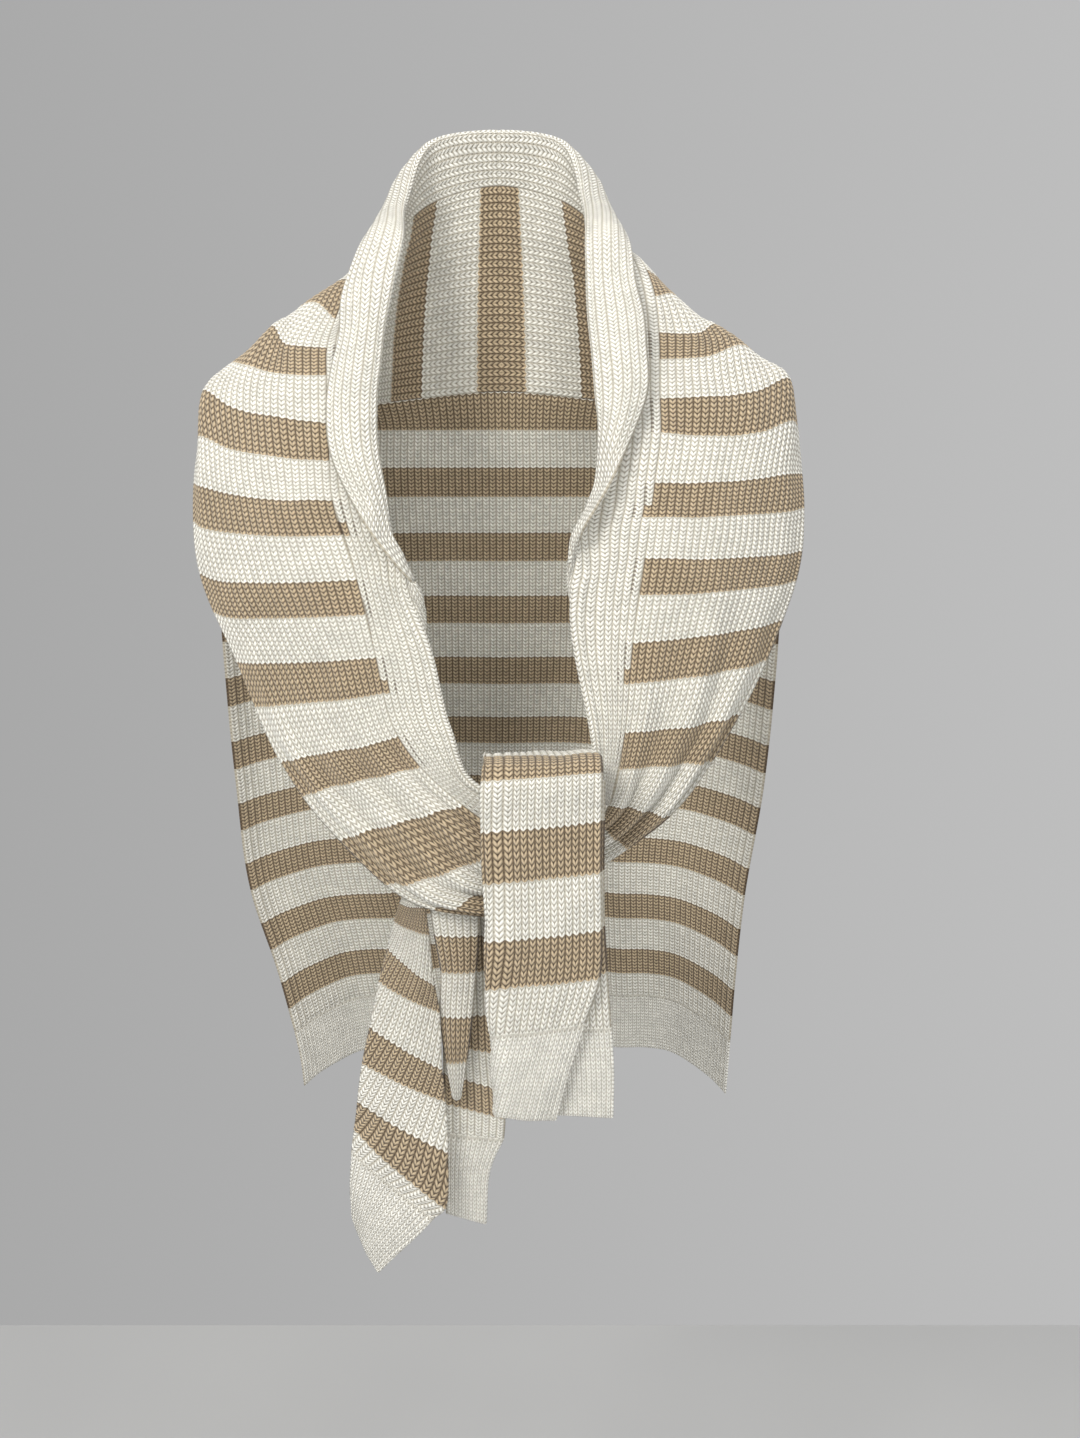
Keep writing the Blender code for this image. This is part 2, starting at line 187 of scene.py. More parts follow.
ROLL_START = 56.0        # course from which the rolled fold has a raised bead
ROLL_COURSES = 12.0
STAND_RIBS = {-50: 6.5, 54: 6.5, 72: 8.0, 126: 8.0}   # ribs from the seam to the fold, by course

# The back: level in mm, left side, right side, y at the sides, y at the middle, and how
# late the arc between them bends.
BACK = [(-106, -205, 205, 32, 106, 4.0), (-124, -209, 209, 37, 110, 4.0),
        (-200, -216, 215, 56, 122, 3.0), (-290, -220, 217, 74, 130, 2.4),
        (-380, -220, 214, 87, 134, 2.0), (-479, -214, 203, 95, 135, 2.0),
        (-543, -197, 199, 98, 135, 2.0), (-600, -185, 197, 101, 134, 2.0)]
HEM = [(-600, -185, 197, 101, 134, 2.0), (-626, -181, 196, 101, 134, 2.0),
       (-652, -179, 195, 101, 134, 2.0)]
BACK_TOP_COURSE = -18
BACK_FIRST_STRIPE = -134.8   # level of course 0 on the back, mm
COURSE = 2.92                # height of a course on the back, mm
BACK_RIBS = 86
BACK_COLUMNS = 16
BACK_WAVES = 4               # soft folds that grow towards its hem
BACK_WAVE = 5.0              # their depth, mm
BACK_DIPS = (20.0, 28.0)     # how far its lower corners hang down, left and right, mm
DIP_START = 0.6              # share of the half width where a corner starts to hang down
CURL_RIBS = 3.0              # how much of each side edge curls forward
CURL_DEPTH = 7.0             # mm
TAIL_SLIDE = 0.22        # ribs the tail's slanting ribs move across per course
TURN_DEPTH = 3.6         # how far behind a strip its turned edge lies, mm
STRIP_COLUMNS = 4

# Hanging ends: course, then the left and the right end of the row.
FLAP = [(-70, (-4, -111, -404), (46, -111, -404)), (-54, (-4, -109, -360), (48, -109, -360)),
        (-38, (-4, -111, -332), (50, -111, -332)), (-31, (-4, -120, -315), (54, -120, -315)),
        (-25, (-4, -137, -307), (62, -137, -305)), (-19, (-4, -156, -303), (66, -156, -301)),
        (-15, (-3, -168, -303), (67, -168, -300)), (-12.5, (-3, -175, -305), (67, -175, -302)),
        (-10, (-3, -180, -311), (67, -180, -306)), (0, (-4, -180, -343), (67, -180, -336)),
        (8, (-3, -180, -376), (67, -180, -369)), (18, (-3, -180, -414), (68, -180, -407)),
        (26, (-3, -180, -446), (67, -180, -439)), (35, (-1, -180, -479), (58, -180, -471))]
FLAP_CUFF = [(35, (-1, -180, -479), (58, -180, -471)), (44, (0, -181, -504), (49, -180, -502)),
             (56, (1, -179, -536), (40, -179, -540))]
FLAP_BACK = [(-9, (2, -171, -317), (69, -171, -314)), (0, (3, -171, -343), (69, -171, -339)),
             (8, (3, -172, -374), (69, -172, -371)), (18, (4, -172, -410), (70, -172, -408)),
             (26, (4, -172, -441), (72, -172, -439)), (36, (5, -172, -480), (75, -172, -478))]
FLAP_BACK_CUFF = [(36, (5, -172, -480), (75, -172, -478)), (46, (8, -172, -508), (77, -172, -508)),
                  (58, (12, -172, -538), (77, -172, -542))]
TAIL_OUTER = [(-8, (-56, -126, -396), (-48, -129, -396)), (0, (-62, -130, -410), (-46, -133, -411)),
              (8, (-66, -131, -422), (-44, -134, -430)), (18, (-71, -132, -441), (-41, -135, -466)),
              (26, (-77, -133, -464), (-38, -136, -485)), (36, (-84, -134, -497), (-37, -137, -526)),
              (44, (-90, -134, -524), (-35, -138, -550)), (54, (-94, -136, -552), (-34, -139, -588)),
              (62, (-97, -137, -573), (-36, -140, -632)), (67, (-99, -138, -588), (-44, -140, -640))]
TAIL_OUTER_CUFF = [(67, (-99, -138, -588), (-44, -140, -640)), (75, (-101, -139, -614), (-62, -141, -660)),
                   (84, (-101, -139, -641), (-84, -141, -683))]
TAIL_PLEAT = [(-6, (-42, -130, -415), (-11, -131, -417)), (0, (-40, -130, -432), (-11, -131, -432)),
              (8, (-36, -131, -458), (-13, -131, -458)), (18, (-37, -131, -490), (-16, -132, -490)),
              (26, (-34, -132, -524), (-20, -132, -523)), (34, (-29, -132, -552), (-25, -132, -552))]
TAIL_INNER = [(-8, (-34, -122, -410), (-2, -122, -410)), (0, (-35, -122, -436), (-1, -122, -436)),
              (8, (-36, -122, -462), (0, -121, -462)), (18, (-36, -122, -494), (1, -121, -495)),
              (26, (-36, -123, -516), (2, -121, -524)), (36, (-36, -123, -538), (4, -121, -552)),
              (44, (-36, -124, -560), (5, -121, -574)), (52, (-36, -124, -584), (4, -122, -590))]
TAIL_INNER_CUFF = [(52, (-36, -124, -584), (4, -122, -590)), (60, (-36, -124, -612), (-5, -122, -612)),
                   (74, (-36, -124, -648), (-9, -122, -658))]


# ---------------------------------------------------------------- curves and grids
def spline(knots, points, at):
    """A smooth curve through points, each reached at its knot, read off at the values in at."""
    knots = np.asarray(knots, float)
    points = np.asarray(points, float)
    step = np.diff(knots)[:, None]
    slope = np.diff(points, axis=0) / step
    middle = (slope[:-1] * step[1:] + slope[1:] * step[:-1]) / (step[:-1] + step[1:])
    tangent = np.vstack([slope[:1], middle, slope[-1:]])
    k = np.clip(np.searchsorted(knots, at, side="right") - 1, 0, len(knots) - 2)
    h = step[k]
    t = ((at - knots[k])[:, None]) / h
    t2, t3 = t * t, t * t * t
    return ((2 * t3 - 3 * t2 + 1) * points[k] + (t3 - 2 * t2 + t) * h * tangent[k]
            + (3 * t2 - 2 * t3) * points[k + 1] + (t3 - t2) * h * tangent[k + 1])


def course_values(first, last, per_course=ROWS_PER_COURSE):
    return np.linspace(first, last, max(2, int(round((last - first) * per_course))) + 1)


def rib_values(first, last, samples=SAMPLES):
    return np.linspace(first, last, max(2, int(round((last - first) * samples))) + 1)


def lay(courses, net, anchors, ribs, rows):
    """Points of the grid: net rows at their courses, and along each row the ribs spread evenly
    between anchors, a list of (column of the net, rib number or a function of the course).
    A net whose first row lies on the centre line gets a mirrored row before it, so that the
    two halves meet smoothly."""
    net = np.asarray(net, float)
    if net[0, 0, 0] == 0.0 and net[0, -1, 0] == 0.0:
        net = np.concatenate([net[1:2] * MIRROR, net])
        courses = [2 * courses[0] - courses[1], *courses]
    columns = net.shape[1]
    fine = spline(courses, net.reshape(len(net), -1), rows).reshape(len(rows), columns, 3)
    out = np.empty((len(rows), len(ribs), 3))
    for r, v in enumerate(rows):
        chord = np.concatenate([[0.0], np.cumsum(np.linalg.norm(np.diff(fine[r], axis=0), axis=1))])
        numbers = [n(v) if callable(n) else n for _, n in anchors]
        places = [chord[c] for c, _ in anchors]
        out[r] = spline(chord, fine[r], np.interp(ribs, numbers, places))
    return out


def unit(a):
    return a / np.maximum(np.linalg.norm(a, axis=-1, keepdims=True), 1e-9)


def normals(grid):
    du = np.gradient(grid, axis=1)
    dv = np.gradient(grid, axis=0)
    return unit(np.cross(du, dv))


# ---------------------------------------------------------------- the knit as a closed mesh
def ridge(u):
    """Relief of the ribs across the knit, 1 on a rib and 0 between two."""
    return 1.0 - np.abs(2.0 * (u - np.floor(u)) - 1.0) ** 2.2


def border_order(rows, columns):
    """Row and column of every point on the border, once round."""
    top = [(0, c) for c in range(columns)]
    right = [(r, columns - 1) for r in range(1, rows)]
    bottom = [(rows - 1, c) for c in range(columns - 2, -1, -1)]
    left = [(r, 0) for r in range(rows - 2, 0, -1)]
    return np.array(top + right + bottom + left)


def knit_mesh(name, grid, U, V, face, height=RIB_HEIGHT, rib_scale=1.0):
    """A closed mesh with ribs on both faces.  grid is the middle of the cloth in mm, U and V
    the rib and course numbers of its points, face +1 or -1 the side that shows."""
    rows, columns = U.shape
    n = normals(grid) * face
    stitch = 1.0 - STITCH_RELIEF * 0.5 * (1.0 - np.cos(2.0 * math.pi * V))
    rib = U * rib_scale
    up = CORE + height * ridge(rib) * stitch
    down = CORE + height * ridge(rib + 0.5)
    edge = np.ones_like(U)
    edge[0, :] = edge[-1, :] = edge[:, 0] = edge[:, -1] = EDGE_SHARE
    front = grid + n * (up * edge)[..., None]
    back = grid - n * (down * edge)[..., None]
    order = border_order(rows, columns)
    r, c = order[:, 0], order[:, 1]
    around = grid[r, c]
    along = unit(np.roll(around, -1, axis=0) - np.roll(around, 1, axis=0))
    rim = around + np.cross(along, n[r, c]) * face * (CORE + RIM)
    points = np.vstack([front.reshape(-1, 3), back.reshape(-1, 3), rim]) * MM
    index = np.arange(rows * columns).reshape(rows, columns)
    a, b, d, e = index[:-1, :-1], index[:-1, 1:], index[1:, 1:], index[1:, :-1]
    quads = np.stack([a, b, d, e], axis=-1).reshape(-1, 4)
    total = rows * columns
    ring = index[r, c]
    following = np.roll(ring, -1)
    rim_ring = 2 * total + np.arange(len(order))
    rim_next = np.roll(rim_ring, -1)
    sides = np.vstack([np.stack([following, ring, rim_ring, rim_next], axis=-1),
                       np.stack([rim_next, rim_ring, ring + total, following + total], axis=-1)])
    faces = np.vstack([quads, quads[:, ::-1] + total, sides])
    if face < 0:
        faces = faces[:, ::-1]
    mesh = bpy.data.meshes.new(name)
    mesh.vertices.add(len(points))
    mesh.vertices.foreach_set("co", points.astype(np.float32).ravel())
    mesh.loops.add(faces.size)
    mesh.loops.foreach_set("vertex_index", faces.astype(np.int32).ravel())
    mesh.polygons.add(len(faces))
    mesh.polygons.foreach_set("loop_start", np.arange(0, faces.size, 4, dtype=np.int32))
    mesh.update(calc_edges=True)
    mesh.validate()
    mesh.shade_smooth()
    numbers = np.zeros((len(points), 3), np.float32)
    numbers[:total, 0] = numbers[total:2 * total, 0] = rib.ravel()
    numbers[:total, 1] = numbers[total:2 * total, 1] = V.ravel()
    numbers[2 * total:, 0], numbers[2 * total:, 1] = rib[r, c], V[r, c]
    attribute = mesh.attributes.new("knit", "FLOAT_VECTOR", "POINT")
    attribute.data.foreach_set("vector", numbers.ravel())
    obj = bpy.data.objects.new(name, mesh)
    bpy.context.scene.collection.objects.link(obj)
    return obj


# ---------------------------------------------------------------- materials
class Graph:
    """Short calls for the nodes of one material."""

    def __init__(self, name):
        self.material = bpy.data.materials.new(name)
        self.material.use_nodes = True
        self.tree = self.material.node_tree
        self.shader = self.tree.nodes["Principled BSDF"]

    def node(self, kind, **settings):
        made = self.tree.nodes.new(kind)
        for key, value in settings.items():
            setattr(made, key, value)
        return made

    def put(self, socket, value):
        if isinstance(value, bpy.types.NodeSocket):
            self.tree.links.new(value, socket)
        else:
            socket.default_value = value

    def math(self, operation, *values):
        made = self.node("ShaderNodeMath", operation=operation)
        for socket, value in zip(made.inputs, values):
            self.put(socket, value)
        return made.outputs[0]

    def mix(self, share, a, b, blend="MIX"):
        made = self.node("ShaderNodeMix", data_type="RGBA", blend_type=blend)
        self.put(made.inputs["Factor"], share)
        self.put(made.inputs["A"], a)
        self.put(made.inputs["B"], b)
        return made.outputs["Result"]

    def span(self, value, low, high, to_low=0.0, to_high=1.0):
        made = self.node("ShaderNodeMapRange", interpolation_type="SMOOTHSTEP")
        for socket, number in zip(made.inputs, (value, low, high, to_low, to_high)):
            self.put(socket, number)
        return made.outputs[0]

    def hump(self, value, power):
        """1 halfway between whole numbers and 0 at them, for a value from 0 to 1."""
        away = self.math("ABSOLUTE", self.math("SUBTRACT", self.math("MULTIPLY", value, 2.0), 1.0))
        return self.math("SUBTRACT", 1.0, self.math("POWER", away, power))

    def noise(self, vector, scale, detail=2.0):
        made = self.node("ShaderNodeTexNoise")
        self.put(made.inputs["Vector"], vector)
        made.inputs["Scale"].default_value = scale
        made.inputs["Detail"].default_value = detail
        return made.outputs["Fac"]


CREAM = (0.96, 0.945, 0.87, 1.0)
# painted shade: the dark cream that the gaps and valleys between stitches are coloured with; it also marks
# the linked seam of a cuff
CREAM_PAINTED_SHADE_AND_SEAM = (0.42, 0.375, 0.285, 1.0)
TAN = (0.64, 0.51, 0.34, 1.0)
# painted shade: the near-black tan in the gaps between stitches of a tan stripe; it also colours the
# twists of tan beside the stripes' ends
TAN_PAINTED_SHADE_AND_TWIST = (0.09, 0.060, 0.035, 1.0)
STITCH_SLANT = 0.8       # how far the legs of a stitch run back, in courses
STRIPE_SLANT = 0.35      # how far the edge of a stripe follows them
FIBRE_SCALE = 1400.0     # noise of the fibres, per metre
CLOUD_SCALE = 30.0       # slow change of tone, per metre
BUMP_DEPTH = 0.0013      # m
JOGS = (54.0, 90.0)      # stripes whose later courses reach one rib into the collar
TWIST_START = 14.0       # course from which twists of tan show beside the stripes' ends
STITCH_TONE = 0.16       # how much lighter the lightest stitch is than the darkest
CLOUD_TONE = 0.12
FIBRE_TONE = 0.26
DARKEST_TONE = 0.74


def yarn(name, striped, stripe_end=None, linked=False):
    """Rib knit: stitches shaped like a V in every rib, with painted shade in the gaps between them, and
    stripes counted in courses.
    stripe_end is the rib where the stripes stop; linked adds the seam of a linked-on cuff."""
    g = Graph(name)
    attribute = g.node("ShaderNodeAttribute", attribute_name="knit", attribute_type="GEOMETRY")
    split = g.node("ShaderNodeSeparateXYZ")
    g.put(split.inputs[0], attribute.outputs["Vector"])
    u, v = split.outputs[0], split.outputs[1]
    place = g.node("ShaderNodeTexCoord").outputs["Object"]
    across = g.math("MULTIPLY", g.math("ABSOLUTE", g.math("SUBTRACT", g.math("FRACT", u), 0.5)), 2.0)
    inward = g.math("SUBTRACT", 1.0, across)
    slant = g.math("SUBTRACT", v, g.math("MULTIPLY", inward, STITCH_SLANT))
    strand = g.hump(g.math("FRACT", slant), 2.0)
    bridge = g.hump(g.math("FRACT", g.math("ADD", v, 0.45)), 2.0)
    valley = g.math("POWER", across, 3.5)
    groove = g.math("POWER", inward, 5.0)
    leg = g.math("SUBTRACT", g.math("ADD", 0.35, g.math("MULTIPLY", strand, 0.65)),
                 g.math("MULTIPLY", groove, 0.30))
    body = g.math("ADD", g.math("MULTIPLY", g.math("SUBTRACT", 1.0, valley), leg),
                  g.math("MULTIPLY", valley, g.math("MULTIPLY", bridge, 0.40)))
    fibre = g.noise(place, FIBRE_SCALE, 3.0)
    relief = g.math("ADD", body, g.math("MULTIPLY", fibre, 0.25))
    bump = g.node("ShaderNodeBump")
    bump.inputs["Strength"].default_value = 1.0
    bump.inputs["Distance"].default_value = BUMP_DEPTH
    g.put(bump.inputs["Height"], relief)
    g.put(g.shader.inputs["Normal"], bump.outputs["Normal"])
    # painted shade: the cream darkens towards the dark cream in the gaps and valleys between stitches
    cream_shade_factor = g.span(body, 0.14, 0.97) if striped else g.span(body, 0.0, 0.90)
    colour = g.mix(cream_shade_factor, CREAM_PAINTED_SHADE_AND_SEAM, CREAM)
    if striped:
        course = g.math("FLOOR", g.math("SUBTRACT", v, g.math("MULTIPLY", inward, STRIPE_SLANT)))
        within = g.math("FLOORED_MODULO", course, float(STRIPE_REPEAT))
        tan_here = g.math("LESS_THAN", within, float(TAN_COURSES) - 0.5)
        if stripe_end is not None:
            late = g.math("GREATER_THAN", within, 4.5)
            jog = 0.0
            for first in JOGS:
                near = g.math("COMPARE", course, first + 6.0, 2.0)
                jog = g.math("ADD", jog, g.math("MULTIPLY", late, near))
            limit = g.math("ADD", jog, stripe_end)
            beside = g.math("COMPARE", u, g.math("ADD", limit, 0.95), 0.17)
            twist = g.math("MULTIPLY", beside, g.math("GREATER_THAN", bridge, 0.7))
            twist = g.math("MULTIPLY", tan_here, twist)
            twist = g.math("MULTIPLY", twist, g.math("GREATER_THAN", v, TWIST_START))
            tan_here = g.math("MULTIPLY", tan_here, g.math("LESS_THAN", u, limit))
        # painted shade: the tan darkens to near black in the gaps between stitches
        tan = g.mix(g.span(body, 0.24, 1.0), TAN_PAINTED_SHADE_AND_TWIST, TAN)
        colour = g.mix(tan_here, colour, tan)
        if stripe_end is not None:
            colour = g.mix(g.math("MULTIPLY", twist, 0.7), colour, TAN_PAINTED_SHADE_AND_TWIST)
    if linked:
        seam = g.math("MULTIPLY", g.math("COMPARE", v, 0.5, 0.45), g.math("LESS_THAN", across, 0.6))
        colour = g.mix(g.math("MULTIPLY", seam, 0.4), colour, CREAM_PAINTED_SHADE_AND_SEAM)
    stitch = g.node("ShaderNodeTexWhiteNoise", noise_dimensions="2D")
    pair = g.node("ShaderNodeCombineXYZ")
    g.put(pair.inputs[0], g.math("FLOOR", u))
    g.put(pair.inputs[1], g.math("FLOOR", slant))
    g.put(stitch.inputs["Vector"], pair.outputs[0])
    cloud = g.noise(place, CLOUD_SCALE)
    tone = g.math("ADD", g.math("MULTIPLY", stitch.outputs["Value"], STITCH_TONE),
                  g.math("MULTIPLY", cloud, CLOUD_TONE))
    tone = g.math("ADD", tone, g.math("MULTIPLY", fibre, FIBRE_TONE))
    tone = g.math("ADD", tone, DARKEST_TONE)
    grey = g.node("ShaderNodeCombineColor")
    for channel in range(3):
        g.put(grey.inputs[channel], tone)
    colour = g.mix(1.0, colour, grey.outputs[0], "MULTIPLY")
    g.put(g.shader.inputs["Base Color"], colour)
    g.put(g.shader.inputs["Roughness"], g.span(fibre, 0.2, 0.8, 0.85, 0.97))
    g.shader.inputs["Specular IOR Level"].default_value = 0.18
    g.shader.inputs["Sheen Weight"].default_value = 0.22
    g.shader.inputs["Sheen Roughness"].default_value = 0.5
    return g.material


# ---------------------------------------------------------------- pieces
def finish_piece(obj, material, replaced, body=None, between=None):
    """Gives a piece its material, hides the parts it replaces and hangs it on its body; between, a joint
    it lies across, is only checked for being given, and then the piece is left unattached with its
    transform baked in.
    """
    obj.data.materials.append(material)
    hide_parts(*replaced)
    if between is None:
        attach(obj, body)
    else:
        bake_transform(obj)


def folds(grid, amount):
    """The grid moved along its normals by amount, in mm."""
    return grid + normals(grid) * amount[..., None]


def gathers(U, V, start, end, period, depth, phase=0.0):
    """Folds along the ribs that grow from one course to another."""
    share = np.clip((V - start) / (end - start), 0.0, 1.0)
    share = share * share * (3.0 - 2.0 * share)
    return share * depth * np.sin(2.0 * math.pi * U / period + phase)


def uneven(U, V, depth, seed):
    """A slow unevenness of hand-worn cloth, from a few waves of unlike lengths."""
    total = np.zeros_like(U)
    for n, (a, b) in enumerate(((9.0, 31.0), (14.0, 19.0), (6.0, 53.0), (23.0, 13.0))):
        total += np.sin(2.0 * math.pi * (U / a + V / b) + seed * (n + 1.7))
    return total * depth / 4.0


def front_panel(side, name, courses, net, material, replaced):
    main = [row[:5] for row in net]
    last = courses[-1]
    rows = course_values(courses[0], last)
    ribs = rib_values(0, PANEL_RIBS)
    V, U = np.meshgrid(rows, ribs, indexing="ij")
    grid = lay(courses, main, [(0, 0), (4, PANEL_RIBS)], ribs, rows)
    move = uneven(U, V, 1.4, side * 2.0)
    inner = np.clip(U / 3.0, 0, 1) * np.clip((PANEL_RIBS - U) / 3.0, 0, 1)
    move = move * inner * np.clip((V - courses[0]) / 16.0, 0, 1)
    if side < 0:
        move = move + gathers(U, V, start=84, end=126, period=7.5, depth=3.4) * inner
    else:
        move = move + gathers(U, V, start=60, end=125, period=9.0, depth=-3.0, phase=0.8) * inner
    grid = folds(grid, move)
    obj = knit_mesh(name, grid, U, V, side)
    finish_piece(obj, material, replaced, body="shoulder_drape")


def collar_net(courses, net, halves, twist):
    """Rows of seam, middle of the stand, fold, middle and free edge of the free half."""
    table = {}
    for v, row in zip(courses, net):
        if row[5] is None:
            continue
        seam, fold = np.array(row[4], float), np.array(row[5], float)
        if v in halves:
            middle, edge = (np.array(p, float) for p in halves[v])
        else:
            inside = fold + np.array([0.0, INSIDE, 0.0])
            middle = inside + (seam - fold) * INSIDE_SHARE * 0.5
            edge = inside + (seam - fold) * INSIDE_SHARE
        table[v] = (seam, fold, middle, edge)
    for v, row in twist:
        table[v] = tuple(np.array(p, float) for p in row)
    order = sorted(table)
    rows = []
    for v in order:
        seam, fold, middle, edge = table[v]
        rows.append([seam, (seam + fold) / 2, fold, middle, edge])
    return order, rows


def collar(side, name, courses, net, halves, twist, material, replaced):
    order, rows_net = collar_net(courses, net, halves, twist)
    rows = course_values(order[0], order[-1])
    ribs = rib_values(PANEL_RIBS, PANEL_RIBS + BAND_RIBS)
    V, U = np.meshgrid(rows, ribs, indexing="ij")
    keys = sorted(STAND_RIBS)

    def fold_rib(v):
        return PANEL_RIBS + float(np.interp(v, keys, [STAND_RIBS[k] for k in keys]))

    anchors = [(0, PANEL_RIBS), (2, fold_rib), (4, PANEL_RIBS + BAND_RIBS)]
    grid = lay(order, rows_net, anchors, ribs, rows)
    from_fold = U - np.vectorize(fold_rib)(V)
    rolled = np.clip((V - ROLL_START) / ROLL_COURSES, 0.0, 1.0)
    bead = 1.9 * np.exp(-((from_fold + 0.7) / 0.8) ** 2) - 0.9 * np.exp(-((from_fold + 2.4) / 0.7) ** 2)
    grid = folds(grid, side * rolled * bead)
    obj = knit_mesh(name, grid, U, V, side)
    finish_piece(obj, material, replaced, body="shoulder_drape")


def back_line(level, left, right, side_y, middle_y, power, share):
    """One row of the back: an arc from side to side; share says how much it waves and dips."""
    row = []
    for c in range(BACK_COLUMNS + 1):
        t = 2.0 * c / BACK_COLUMNS - 1.0
        ripple = BACK_WAVE * share * math.cos(math.pi * BACK_WAVES * (t + 1))
        outer = max(0.0, (abs(t) - DIP_START) / (1.0 - DIP_START))
        dip = BACK_DIPS[t > 0] * share ** 1.5 * outer ** 2
        y = middle_y + (side_y - middle_y) * abs(t) ** power - ripple
        row.append((left + (right - left) * (t + 1) / 2, y, level - dip))
    return row


def back_top():
    """The upper edge of the back lies along the outer edges of both fronts."""
    right = [np.array(row[0], float) for row in RIGHT_FRONT[:8]][::-1]
    left = [p * MIRROR for p in right[:-1]][::-1]
    edge = np.array(right + left)
    chord = np.concatenate([[0.0], np.cumsum(np.linalg.norm(np.diff(edge, axis=0), axis=1))])
    return spline(chord, edge, np.linspace(0, chord[-1], BACK_COLUMNS + 1))


def back_course(level):
    return (BACK_FIRST_STRIPE - level) / COURSE


def edge_curl(U):
    """How far the side edges of the back curl forward, in mm."""
    return CURL_DEPTH * np.clip(1.0 - np.minimum(U, BACK_RIBS - U) / CURL_RIBS, 0, 1) ** 1.5


def back_panel(material):
    net = [back_top()]
    courses = [BACK_TOP_COURSE]
    for n, (level, *shape) in enumerate(BACK):
        net.append(back_line(level, *shape, n / (len(BACK) - 1)))
        courses.append(back_course(level))
    rows = course_values(courses[0], courses[-1], BACK_ROWS_PER_COURSE)
    ribs = rib_values(0, BACK_RIBS)
    V, U = np.meshgrid(rows, ribs, indexing="ij")
    grid = lay(courses, net, [(0, 0), (BACK_COLUMNS, BACK_RIBS)], ribs, rows)
    grid[..., 1] -= edge_curl(U) * np.clip((V + 10) / 20.0, 0, 1)
    obj = knit_mesh("back_panel_knit", grid, U, V, 1)
    joint = ("shoulder_drape", "hanging_back", (0, 0.1, -0.088), (0, 0.11, -0.150))
    finish_piece(obj, material, ["back_yoke", "back_drape"],
                 between=joint)


def back_hem(material):
    net = [back_line(*line, 1.0) for line in HEM]
    courses = [back_course(line[0]) for line in HEM]
    rows = course_values(courses[0], courses[-1])
    ribs = rib_values(0, BACK_RIBS, HEM_SAMPLES)
    V, U = np.meshgrid(rows, ribs, indexing="ij")
    grid = lay(courses, net, [(0, 0), (BACK_COLUMNS, BACK_RIBS)], ribs, rows)
    grid[..., 1] -= edge_curl(U)
    obj = knit_mesh("back_hem_knit", grid, U, V - courses[0], 1, CUFF_HEIGHT, FINE)
    finish_piece(obj, material, ["back_hem_rib"],
                 body="hanging_back")


def strip(name, table, ribs_across, bulge=0.0, bend=None, turned=None, slide=0.0,
          height=RIB_HEIGHT, fine=1.0):
    """A hanging strip from the two ends of each row, its middle bulge mm forward.  bend gives
    its uneven folds, turned the ribs folded behind the left edge at a course, and slide the
    ribs that move across it per course."""
    courses = [line[0] for line in table]
    net = []
    for _, left, right in table:
        left, right = np.array(left, float), np.array(right, float)
        row = []
        for t in np.linspace(0.0, 1.0, STRIP_COLUMNS + 1):
            point = left + (right - left) * t
            row.append(point - np.array([0.0, bulge * 4.0 * t * (1.0 - t), 0.0]))
        if turned is not None:
            width = 0.3 + 3.0 * turned(courses[len(net)])
            row.insert(0, left + np.array([width, TURN_DEPTH * min(1.0, width / 4.0), 0.0]))
        net.append(row)
    anchors = [(0, 0), (STRIP_COLUMNS, ribs_across)]
    if turned is not None:
        anchors = [(0, 0), (1, turned), (STRIP_COLUMNS + 1, ribs_across)]
    rows = course_values(courses[0], courses[-1])
    ribs = rib_values(0, ribs_across, SAMPLES if fine == 1.0 else CUFF_SAMPLES)
    V, U = np.meshgrid(rows, ribs, indexing="ij")
    grid = lay(courses, net, anchors, ribs, rows)
    if bend is not None:
        grid = folds(grid, bend(U, V))
    U = U + slide * (V - courses[0])
    if fine != 1.0:
        V = V - courses[0]
    return knit_mesh(name, grid, U, V, -1, height, fine)


def cuff(*facts, height=CUFF_HEIGHT, **more):
    """A strip of the finer rib on the end of another."""
    return strip(*facts, height=height, fine=FINE, **more)


def flap(stripes, plain):
    def soft(U, V):
        return uneven(U, V, 1.0, 3.0)

    def turned(v):
        return float(np.interp(v, [20.0, 35.0, 56.0], [0.1, 1.6, 5.4]))

    joint = ("shoulder_drape", "flap", (0.031, -0.135, -0.300), (0.031, -0.185, -0.310))
    front = strip("flap_front_knit", FLAP, 16, bulge=2.0, bend=soft, turned=turned)
    finish_piece(front, stripes, ["knot_wrap", "flap_front_leaf"],
                 between=joint)
    front_cuff = cuff("flap_front_cuff_knit", FLAP_CUFF, 16, bulge=2.0, bend=soft, turned=turned,
                      height=0.8)
    finish_piece(front_cuff, plain, ["flap_front_cuff"],
                 body="flap")
    back = strip("flap_back_knit", FLAP_BACK, 16)
    finish_piece(back, stripes, ["flap_back_leaf"],
                 body="flap")
    back_cuff = cuff("flap_back_cuff_knit", FLAP_BACK_CUFF, 16)
    finish_piece(back_cuff, plain, ["flap_back_cuff"],
                 body="flap")


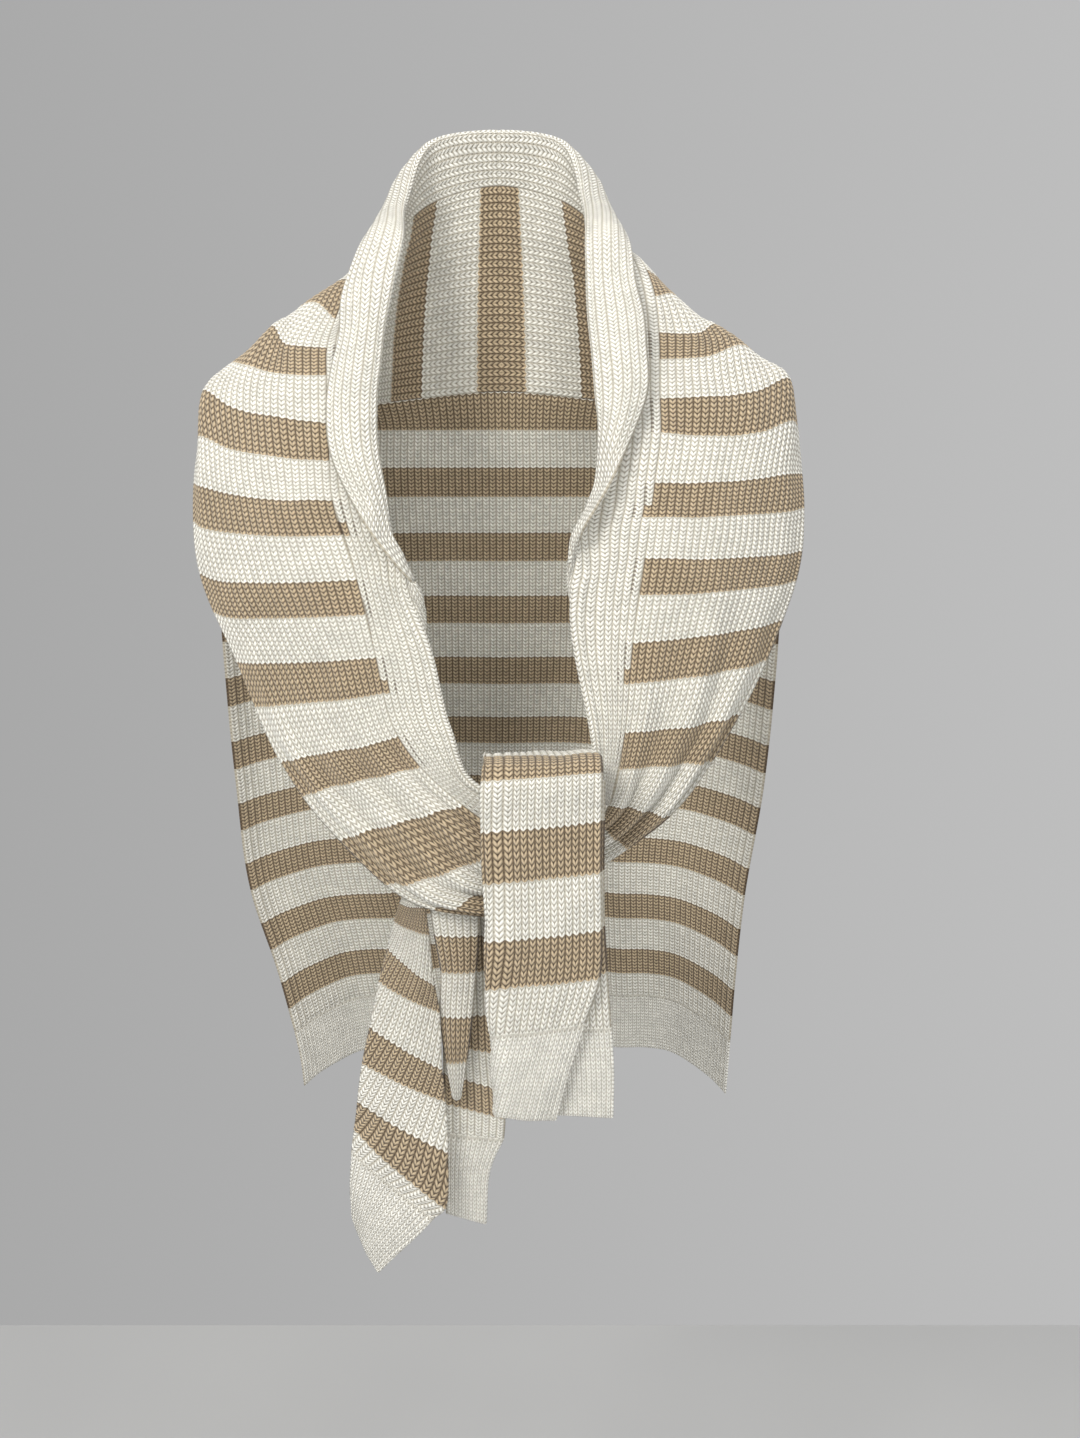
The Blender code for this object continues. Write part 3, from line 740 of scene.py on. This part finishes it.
def tail(stripes, plain):
    def soft(U, V):
        return uneven(U, V, 1.0, 5.0)

    outer = strip("tail_outer_knit", TAIL_OUTER, 12, bulge=3.0, bend=soft, slide=TAIL_SLIDE)
    finish_piece(outer, stripes, ["tail_outer_leaf"],
                 body="tail")
    outer_cuff = cuff("tail_outer_cuff_knit", TAIL_OUTER_CUFF, 12, bulge=3.0, bend=soft,
                      slide=TAIL_SLIDE / 3)
    finish_piece(outer_cuff, plain, ["tail_outer_cuff"],
                 body="tail")
    pleat = strip("tail_pleat_knit", TAIL_PLEAT, 6, bulge=2.0)
    finish_piece(pleat, stripes, ["tail_pleat"],
                 body="tail")
    inner = strip("tail_inner_knit", TAIL_INNER, 8)
    finish_piece(inner, stripes, ["tail_inner_leaf"],
                 body="tail")
    inner_cuff = cuff("tail_inner_cuff_knit", TAIL_INNER_CUFF, 8)
    finish_piece(inner_cuff, plain, ["tail_inner_cuff"],
                 body="tail")


# ---------------------------------------------------------------- camera, light and surroundings
CAMERA_PLACE = (0.030, -0.872, -0.107)
CAMERA_PITCH = 76.5          # degrees from straight down
LENS = 30.04                 # mm on a sensor SENSOR mm high
SENSOR = 36.0
FLOOR_SIDE = 1.7             # m
FLOOR_PLACE = (0.0, -0.28, -1.33)
GREY_RANGE = (0.39, 0.52)    # grey round the scene, from the viewer's left to right


def camera():
    data = bpy.data.cameras.new("camera")
    data.lens = LENS
    data.sensor_width = SENSOR
    obj = bpy.data.objects.new("camera", data)
    obj.location = CAMERA_PLACE
    obj.rotation_euler = (math.radians(CAMERA_PITCH), 0.0, 0.0)
    bpy.context.scene.collection.objects.link(obj)
    bpy.context.scene.camera = obj


def lamp(name, place, target, size, power, colour=(1.0, 1.0, 1.0)):
    """A round soft lamp, power in watts and size in metres."""
    data = bpy.data.lights.new(name, "AREA")
    data.shape = "DISK"
    data.size = size
    data.energy = power
    data.color = colour
    obj = bpy.data.objects.new(name, data)
    obj.location = place
    obj.rotation_euler = (Vector(target) - Vector(place)).to_track_quat("-Z", "Y").to_euler()
    bpy.context.scene.collection.objects.link(obj)


def studio_floor():
    bpy.ops.mesh.primitive_plane_add(size=FLOOR_SIDE, location=FLOOR_PLACE)
    floor = bpy.context.object
    floor.name = "studio_floor"
    g = Graph("floor_paint")
    place = g.node("ShaderNodeTexCoord").outputs["Object"]
    g.put(g.shader.inputs["Base Color"],
          g.mix(g.noise(place, 3.0), (0.50, 0.50, 0.50, 1.0), (0.56, 0.56, 0.55, 1.0)))
    g.shader.inputs["Roughness"].default_value = 0.7
    floor.data.materials.append(g.material)


def surroundings():
    world = bpy.data.worlds.new("studio")
    world.use_nodes = True
    background = world.node_tree.nodes["Background"]
    nodes, links = world.node_tree.nodes, world.node_tree.links
    place = nodes.new("ShaderNodeTexCoord")
    split = nodes.new("ShaderNodeSeparateXYZ")
    span = nodes.new("ShaderNodeMapRange")
    for socket, number in zip(list(span.inputs)[1:5], (-0.45, 0.45, *GREY_RANGE)):
        socket.default_value = number
    links.new(place.outputs["Generated"], split.inputs[0])
    links.new(split.outputs[0], span.inputs[0])
    links.new(span.outputs[0], background.inputs["Color"])
    background.inputs["Strength"].default_value = 1.0
    bpy.context.scene.world = world
    bpy.context.scene.view_settings.view_transform = "Standard"
    lamp("key", (-0.9, -1.5, 1.1), (0.0, 0.0, -0.25), 0.8, 29.5, (1.0, 0.985, 0.96))
    lamp("front", (0.25, -1.7, -0.45), (0.0, -0.1, -0.45), 0.8, 8.5)
    lamp("top", (0.2, -0.3, 1.6), (0.0, 0.0, -0.2), 1.2, 10.0)
    lamp("behind", (0.8, 1.7, 0.9), (0.0, 0.0, -0.3), 1.2, 12.0)


def main():
    camera()
    studio_floor()
    surroundings()
    fronts = yarn("striped_rib_fronts", True, stripe_end=float(PANEL_RIBS))
    striped = yarn("striped_rib", True)
    plain = yarn("cuff_rib", False, linked=True)
    front_panel(-1, "right_front_knit", RIGHT_COURSES, RIGHT_FRONT, fronts, ["right_front"])
    front_panel(1, "left_front_knit", LEFT_COURSES, LEFT_FRONT, fronts,
                ["left_front", "gathered_strand"])
    collar(-1, "right_collar_knit", RIGHT_COURSES, RIGHT_FRONT, RIGHT_COLLAR, RIGHT_TWIST, fronts,
           ["right_collar_band", "right_lapel", "right_underfold"])
    collar(1, "left_collar_knit", LEFT_COURSES, LEFT_FRONT, LEFT_COLLAR, LEFT_TWIST, fronts,
           ["left_collar_band", "left_lapel", "left_underfold"])
    back_panel(striped)
    back_hem(plain)
    flap(striped, plain)
    tail(striped, plain)


main()
